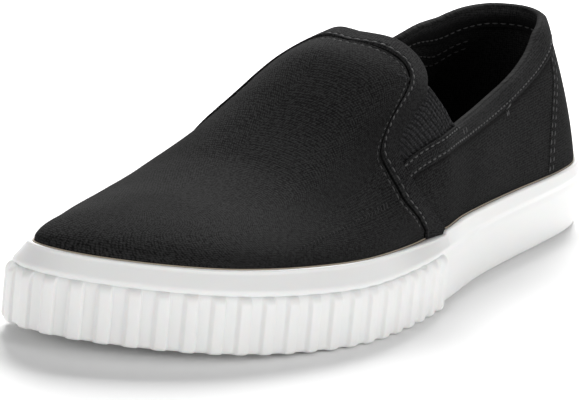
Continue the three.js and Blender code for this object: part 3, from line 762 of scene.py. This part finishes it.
def make_quarters():
    """Both quarters and the heel's back in one panel, up to the collar's edge"""
    shares = np.concatenate([[-1, -0.1], np.linspace(0, 1, 44)])
    steps = np.linspace(0, 1, 161)
    rows, shades = [], []
    for s in shares:
        row = []
        for medial in (True, False):
            end = 0.75 if medial else 0.25
            for _ in range(12):
                top = rise_at("top", end)
                rear, front = (turn_at(line, max(s, 0) * top, medial) for line in ("rear", "front"))
                end = rear + (front - rear) * 0.4
            reach = (1 - end) if medial else end
            row.append(-reach * (1 - steps[:-1]) if medial else reach * steps)
        turn = np.mod(np.concatenate(row), 1.0)
        top = rise_at("top", turn)
        rise = s * top if s > 0 else np.maximum(np.full(turn.shape, s), lowest(turn))
        rows.append(skin(turn, rise, 0.0))
        # painted shade: the cloth is darker beside the strap's lower edge and the facing's rear edge
        below = (rise_at("foot", turn) - rise) * INSTEP_HEIGHT
        behind = (turn_at("rear", np.maximum(rise, 0), False) - np.minimum(turn, 1 - turn)) * TURN_LENGTH
        shades.append(0.7 * bell(below, SHADE_BELOW, SHADE_WIDTH)
                      + 0.6 * bell(behind, SHADE_BELOW, SHADE_WIDTH))
    piece = grid("quarters", np.array(rows), 20, painted_shade=np.clip(np.array(shades), 0, 1))
    thicken(piece, WALL, lining=1)
    return finished(piece, ["upper"], "canvas_charcoal", canvas, lining)


def make_gore(medial):
    name = "gore_medial" if medial else "gore_lateral"
    throat_y, collar_y = along_y(THROAT_SHARE), along_y(COLLAR_START)
    q = np.linspace(-0.4, 1.25, 80)
    on_edge = np.clip(q, 0, 1)
    # past its ends the edge runs on straight, and three times as fast above the throat
    past = (q - on_edge) * np.where(q < 0, 3, 1)
    bend = smooth_curve(GORE_EDGE[:, 0], GORE_EDGE[:, 1], on_edge)
    edge_y = throat_y + (collar_y - throat_y) * (bend + past)
    edge_z = THROAT_HEIGHT + (SIDE_HEIGHT - THROAT_HEIGHT) * q
    corner_y, corner_z = along_y(GORE_CORNER[0]), SIDE_HEIGHT - GORE_CORNER[1]
    p = np.linspace(0.0, 1, 171)[:, None]
    turn, rise = on_side(corner_y + (edge_y - corner_y) * p, corner_z + (edge_z - corner_z) * p, medial)
    wave = np.cos(2 * np.pi * GORE_RIBS * p)
    bump = GORE_RIB_HEIGHT * (0.5 - 0.5 * wave) + GORE_HEM * (p > 0.97)
    points = skin(turn, rise, GORE_DEPTH - bump)
    # painted shade: the elastic is darker between its ribs
    dye_and_painted_shade = np.broadcast_to(0.3 + 0.3 * wave, turn.shape)
    piece = grid("elastic_medial" if medial else "elastic_lateral", points, 80, painted_shade=dye_and_painted_shade)
    thicken(piece, GORE_THICKNESS, lining=1)
    return finished(piece, [name], "elastic_black", elastic, lining)


def trough(q, rows, depth=0.22, reach=0.55):
    """The hollow that a row of stitches pulls into a tape"""
    return sum(depth * bell(q, at, reach) for at in rows) if rows else 0 * q


def tape_profile(width, fold, thickness, inner, rows=()):
    """Section of a folded tape as (distance from the folded edge, depth), from the outer free edge
    over the fold to the inner free edge. fold is 0 where the tape lies on the cloth, 1 round its edge"""
    radius = thickness / 2 + (WALL / 2 + thickness / 2) * fold
    centre = radius - thickness
    q = width - (width - radius) * np.linspace(0, 1, 30) ** 1.25
    rim = np.clip((width - q) / 0.6, 0, 1)
    outer = -thickness * np.sqrt(1 - (1 - rim) ** 2) + trough(q, rows)
    angle = np.linspace(0, np.pi, 12)[1:-1]
    round_q, round_d = radius * (1 - np.sin(angle)), centre - radius * np.cos(angle)
    reach = inner * fold + (width - 0.8) * (1 - fold)
    inner_q = np.linspace(radius, max(reach, radius + 0.5), 12)
    inner_rim = np.clip((inner_q[-1] - inner_q) / 0.8, 0, 1)
    inner_d = centre + radius - (1 - np.sqrt(1 - (1 - inner_rim) ** 2)) * thickness * 0.8 * fold
    inner_d = inner_d - trough(inner_q, (inner - LINING_STITCH,), 0.3) * fold
    return np.concatenate([q, round_q, inner_q]), np.concatenate([outer, round_d, inner_d])


def collar_stations():
    """Turns of the strap from the lateral to the medial facing, round the heel"""
    ends = []
    for medial in (False, True):
        end = 0.26
        for _ in range(12):
            rise = rise_at("top", 1 - end if medial else end)
            rear, front = (turn_at(line, rise, medial) for line in ("rear", "front"))
            end = rear + (front - rear) * 0.45
            end = 1 - end if medial else end
        ends.append(end)
    return np.linspace(ends[0], -ends[1], 420)


def strap_rise(turn, q):
    """The strap's rise q millimetres below the collar's edge"""
    top, foot = rise_at("top", turn), rise_at("foot", turn)
    return top + (foot - top) * q / STRAP_WIDTH


def sunk(turns, q):
    """How deep the strap lies at its ends, where the facing covers it"""
    edge = turn_at("rear", strap_rise(turns, q), False)
    turns = np.mod(turns, 1.0)
    ahead = (np.minimum(turns, 1 - turns) - edge) * TURN_LENGTH
    return TAPE_DIP * step_between(ahead, -0.3, 0.6)


def make_strap():
    turns = collar_stations()
    y = along_y(share_of(turns))
    start = along_y(COLLAR_START)
    fold = step_between(y, start - 1.5, start + 3)
    sections = []
    for k in fold:
        low_row = STRAP_WIDTH - STRAP_STITCH
        rows = (STRAP_STITCH, low_row) if k < 0.5 else (low_row,)
        sections.append(tape_profile(STRAP_WIDTH, k, STRAP_T, LINING_REACH, rows))
    q, depth = np.array(sections).transpose(1, 2, 0)
    # the ends dip under the facing
    turns = np.broadcast_to(turns, q.shape)
    points = skin(np.mod(turns, 1.0), strap_rise(turns, q), depth + sunk(turns, q))
    # painted shade: the tape's inner side, inside the collar, is darkened
    dye_and_painted_shade = np.broadcast_to(step_between(np.arange(len(q)), 36, 42)[:, None] * 0.6, q.shape)
    piece = grid("collar_tape", points, 15, painted_shade=dye_and_painted_shade)
    thicken(piece, STRAP_SHEET)
    return finished(piece, ["quarter_strap"], "tape_charcoal", tape)


def flatter(rise):
    """How much deeper the facing lies where it crosses the crest"""
    return CREST_DIP * step_between(rise, 0.8, 1)


def make_facing():
    half = np.concatenate([np.linspace(-0.25, 0, 8)[:-1], np.linspace(0, 1, 170)])
    sides = []
    for medial in (False, True):
        at = np.maximum(half, 0)
        rear, front = turn_at("rear", at, medial), turn_at("front", at, medial)
        edge = skin(rear, at)
        width = np.linalg.norm(skin(front, at) - edge, axis=-1)
        fold = step_between(edge[:, 2], THROAT_HEIGHT - 1, THROAT_HEIGHT + 2.5)
        sections = [tape_profile(w, k, FACING_T, FACING_REACH, (w - STITCH_BEHIND,))
                    for w, k in zip(width, fold)]
        q, depth = np.array(sections).transpose(1, 2, 0)
        turn = rear + (front - rear) * q / width
        side = skin(turn, np.broadcast_to(half, q.shape), depth + flatter(at))
        sides.append(side[:, ::-1][:, 1:] if medial else side)
    piece = grid("facing_tape", np.concatenate(sides, 1), 15)
    thicken(piece, FACING_SHEET)
    return finished(piece, ["throat_facing"], "tape_charcoal", tape)


def make_counter():
    shares = np.concatenate([[-0.2], np.linspace(-0.01, 1, 40)])
    steps = np.linspace(0, 1, 121)
    rows = []
    for s in shares:
        row = []
        for medial in (True, False):
            end = 0.12
            for _ in range(10):
                foot = rise_at("foot", 1 - end if medial else end) + COUNTER_TUCK
                end = turn_at("counter", max(s, 0) * foot, medial)
                end = 1 - end if medial else end
            row.append(-end * (1 - steps[:-1]) if medial else end * steps)
        turn = np.concatenate(row)
        reach = np.abs(turn) / np.max(np.abs(turn))
        edge = np.clip((1 - reach) * 40, 0, 1)
        depth = -COUNTER_T * np.sqrt(1 - (1 - edge) ** 2)
        turn = np.mod(turn, 1.0)
        foot = rise_at("foot", turn) + COUNTER_TUCK
        rows.append(skin(turn, max(s, 0) * foot + min(s, 0), depth))
    piece = grid("counter_panel", np.array(rows), 20)
    thicken(piece, COUNTER_SHEET)
    return finished(piece, ["heel_counter"], "canvas_charcoal", canvas)


# Stitches

def make_stitch():
    """One lock stitch along X: a short thread that lies on the cloth, with its ends sunk in"""
    deselect()
    bpy.ops.mesh.primitive_uv_sphere_add(segments=6, ring_count=5, radius=1)
    bpy.ops.object.mode_set(mode="EDIT")
    bpy.ops.mesh.select_all(action="SELECT")
    bpy.ops.transform.rotate(value=math.pi / 2, orient_axis="Y", center_override=(0, 0, 0))
    bpy.ops.transform.resize(value=(STITCH_LENGTH / 2, STITCH_WIDTH / 2, STITCH_WIDTH / 2.5),
                             center_override=(0, 0, 0))
    bpy.ops.object.mode_set(mode="OBJECT")
    model = bpy.context.object
    points = np.array([vertex.co for vertex in model.data.vertices])
    points[:, 2] -= 0.14 * (2 * points[:, 0] / STITCH_LENGTH) ** 2
    faces = [list(face.vertices) for face in model.data.polygons]
    bpy.data.objects.remove(model)
    return points, faces


STITCH = make_stitch()


def read_at(spots, length, values):
    """Values of a line at some lengths along it"""
    return np.stack([np.interp(spots, length, values[:, k]) for k in range(3)], -1)


def sew(name, material, *lines, slant=0.0, pitch=STITCH_PITCH):
    """Copies of the stitch along lines, each given as points and the way out of the cloth"""
    model, faces = STITCH
    verts, polys = [], []
    for points, out in lines:
        length = run_along(points)
        count = max(int(length[-1] // pitch), 1)
        at = (np.arange(count) + 0.5) * length[-1] / count
        middle, up = read_at(at, length, points), read_at(at, length, out)
        ahead = read_at(at + 0.3, length, points) - read_at(at - 0.3, length, points)
        ahead /= np.linalg.norm(ahead, axis=1, keepdims=True)
        up -= ahead * np.sum(ahead * up, 1, keepdims=True)
        up /= np.linalg.norm(up, axis=1, keepdims=True)
        side = np.cross(up, ahead)
        ahead, side = (ahead * math.cos(slant) + side * math.sin(slant),
                       side * math.cos(slant) - ahead * math.sin(slant))
        axes = np.stack([ahead, side, up], 1)
        for spot, turned in zip(middle, axes):
            base = len(verts)
            verts.extend(((model @ turned + spot + FRAME_SHIFT) / MM_PER_M).tolist())
            polys.extend([[base + k for k in face] for face in faces])
    mesh = bpy.data.meshes.new(name)
    mesh.from_pydata(verts, [], polys)
    piece = bpy.data.objects.new(name, mesh)
    bpy.context.collection.objects.link(piece)
    pick(piece)
    bpy.ops.object.mode_set(mode="EDIT")
    bpy.ops.mesh.select_all(action="SELECT")
    bpy.ops.mesh.normals_make_consistent(inside=False)
    bpy.ops.object.mode_set(mode="OBJECT")
    bpy.ops.object.shade_smooth()
    return finished(piece, [], "tape_charcoal", material)


def line_on(turn, rise, depth):
    """A line on the surface with the way out of the cloth at each point"""
    turn = np.mod(turn, 1.0)
    here, deeper = skin(turn, rise, depth), skin(turn, rise, depth + 0.5)
    out = here - deeper
    return here, out / np.linalg.norm(out, axis=1, keepdims=True)


def facing_line(behind, depth, start=0.03):
    """Round the throat at a distance behind the line where the vamp and the facing are sewn together, from
    the lateral to the medial foot
    """
    half = np.linspace(start, 0.995, 500)
    parts = []
    for medial in (False, True):
        rear, front = turn_at("rear", half, medial), turn_at("front", half, medial)
        width = np.linalg.norm(skin(front, half) - skin(rear, half), axis=1)
        parts.append(front + (rear - front) * behind / width)
    rise = np.concatenate([half, half[::-1]])
    if behind > 0:
        depth = depth + flatter(rise)
    return line_on(np.concatenate([parts[0], parts[1][::-1]]), rise, depth)


def strap_line(below, depth, first, last):
    """Along the strap, below its edge, between two shares of its way round the heel"""
    turns = collar_stations()
    turns = np.interp(np.linspace(first, last, 600), np.linspace(0, 1, len(turns)), turns)
    return line_on(turns, strap_rise(turns, below), depth)


def counter_line(behind, medial):
    rise = np.linspace(-0.02, 0.45, 200)
    edge = turn_at("counter", rise, False)
    gap = np.linalg.norm(skin(edge + 0.002, rise) - skin(edge - 0.002, rise), axis=1) / 0.004
    turn = edge - behind / gap
    keep = rise < rise_at("foot", turn) - 0.005
    turn, rise = turn[keep], rise[keep]
    return line_on(1 - turn if medial else turn, rise, -COUNTER_T)


def across_strap(share, first, last, medial=False):
    """A short line across the strap, between two distances below its edge"""
    turn = float(turn_of(share))
    turns = np.full(20, 1 - turn if medial else turn)
    below = np.linspace(first, last, 20)
    return line_on(turns, strap_rise(turns, below), np.where(below > STRAP_WIDTH, 0.0, -STRAP_T))


def pulled_threads():
    """The short row of pulled threads low on the vamp's lateral side"""
    share = np.linspace(PULLED[0, 0], PULLED[-1, 0], 160)
    return line_on(turn_of(share), smooth_curve(PULLED[:, 0], PULLED[:, 1], share), 0.12)


def sew_all():
    on_facing, on_strap = STITCH_SUNK - FACING_T, STITCH_SUNK - STRAP_T
    sew("facing_stitches", thread, facing_line(STITCH_BEHIND, on_facing), slant=0.12)
    sew("vamp_stitches", fine_thread, facing_line(-STITCH_AHEAD, 0.1), pitch=2.3)
    # the upper row only closes the strap under each gore, and ends in a row across it
    turns = collar_stations()
    covered = np.mean(along_y(share_of(turns[:210])) < along_y(COLLAR_START) + 2) / 2
    sew("strap_stitches", thread, strap_line(STRAP_WIDTH - STRAP_STITCH, on_strap, 0.005, 0.995),
        strap_line(STRAP_STITCH, on_strap, 0.005, covered),
        strap_line(STRAP_STITCH, on_strap, 1 - covered, 0.995))
    sew("end_stitches", thread, *(across_strap(share, 1.2, STRAP_WIDTH - 1.2, medial)
                                  for share in STRAP_ENDS for medial in (False, True)), pitch=1.9)
    sew("bar_tacks", thread, *(across_strap(share, STRAP_WIDTH - 1.0, STRAP_WIDTH + 2.6, medial)
                               for share in BAR_TACKS for medial in (False, True)), pitch=1.6)
    sew("counter_stitches", thread, *(counter_line(behind, medial)
                                      for behind in COUNTER_ROWS for medial in (False, True)))
    sew("pulled_threads", pulled_thread, pulled_threads(), slant=1.15, pitch=1.5)
    inner = [strap_line(LINING_REACH - LINING_STITCH, STRAP_T + WALL, 0.1, 0.9)]
    for first, last in LINING_SPANS:
        for below in LINING_ROWS:
            inner.append(strap_line(STRAP_WIDTH + below, WALL + 0.3, first, last))
    sew("lining_stitches", lining_thread, *((points, -out) for points, out in inner))


def make_cement_line():
    """The thin line of cement that shows where the cloth meets the rubber rim"""
    turns = np.linspace(0, 1, 721)
    share = share_of(turns)
    rows = []
    for a in np.linspace(0, 2 * np.pi, 7):
        across = cup_inset(share) + 0.1 + CEMENT_RADIUS * np.cos(a)
        rows.append(ring(turns, across, rim_top(share) - 0.05 + CEMENT_RADIUS * np.sin(a)))
    return finished(grid("cement_line", np.array(rows), 3, merge=0.02), [], "rubber_white", cement)


make_sole()
make_band()
make_insole()
make_vamp()
make_quarters()
make_gore(False)
make_gore(True)
make_strap()
make_facing()
make_counter()
make_cement_line()
sew_all()


# The floor, the light and the camera

def make_floor():
    deselect()
    bpy.ops.mesh.primitive_plane_add(size=12, location=(0, 0, -0.0002))
    floor = bpy.context.object
    floor.name = "studio_floor"
    material, tree, surface = blank("white_paper_sweep")
    surface.inputs["Base Color"].default_value = (0.97, 0.97, 0.97, 1)
    surface.inputs["Roughness"].default_value = 1.0
    surface.inputs["Specular IOR Level"].default_value = 0.0
    floor.data.materials.append(material)


def area_light(name, place, target, size, power):
    deselect()
    bpy.ops.object.light_add(type="AREA", location=place)
    lamp = bpy.context.object
    lamp.name = name
    lamp.data.size = size
    lamp.data.energy = power
    lamp.rotation_euler = (Vector(target) - Vector(place)).to_track_quat("-Z", "Y").to_euler()


# the camera solved from the photo: place in millimetres, the ways of its right and up, its lens
CAMERA_PLACE = np.array([528.04, -986.62, 289.72])
CAMERA_RIGHT = Vector((0.86148, 0.49809, 0.09877))
CAMERA_UP = Vector((-0.20143, 0.15664, 0.96690))
FOCAL_PIXELS = 4007.2
PICTURE_WIDTH = 581
SENSOR_WIDTH = 36
WORLD_STRENGTH = 0.25


def make_camera():
    place = (CAMERA_PLACE + FRAME_SHIFT) / MM_PER_M
    back = CAMERA_RIGHT.cross(CAMERA_UP)
    deselect()
    bpy.ops.object.camera_add(location=tuple(place))
    camera = bpy.context.object
    camera.name = "photo_camera"
    camera.rotation_euler = Matrix((CAMERA_RIGHT, CAMERA_UP, back)).transposed().to_euler()
    camera.data.sensor_fit = "HORIZONTAL"
    camera.data.sensor_width = SENSOR_WIDTH
    camera.data.lens = FOCAL_PIXELS * SENSOR_WIDTH / PICTURE_WIDTH
    camera.data.clip_end = 30
    bpy.context.scene.camera = camera


make_floor()
area_light("overhead_softbox", (-0.5, 0.85, 0.85), (0, 0, 0), 0.6, 27)
area_light("side_softbox", (1.9, -0.2, 0.42), (0, 0, 0.03), 1.2, 21)
area_light("front_softbox", (-0.5, -1.8, 0.4), (0, 0, 0.03), 1.3, 13)
make_camera()
world = bpy.data.worlds.new("studio")
bpy.context.scene.world = world
world.use_nodes = True
background = world.node_tree.nodes["Background"]
background.inputs["Color"].default_value = (1, 1, 1, 1)
background.inputs["Strength"].default_value = WORLD_STRENGTH
bpy.context.scene.view_settings.view_transform = "Standard"
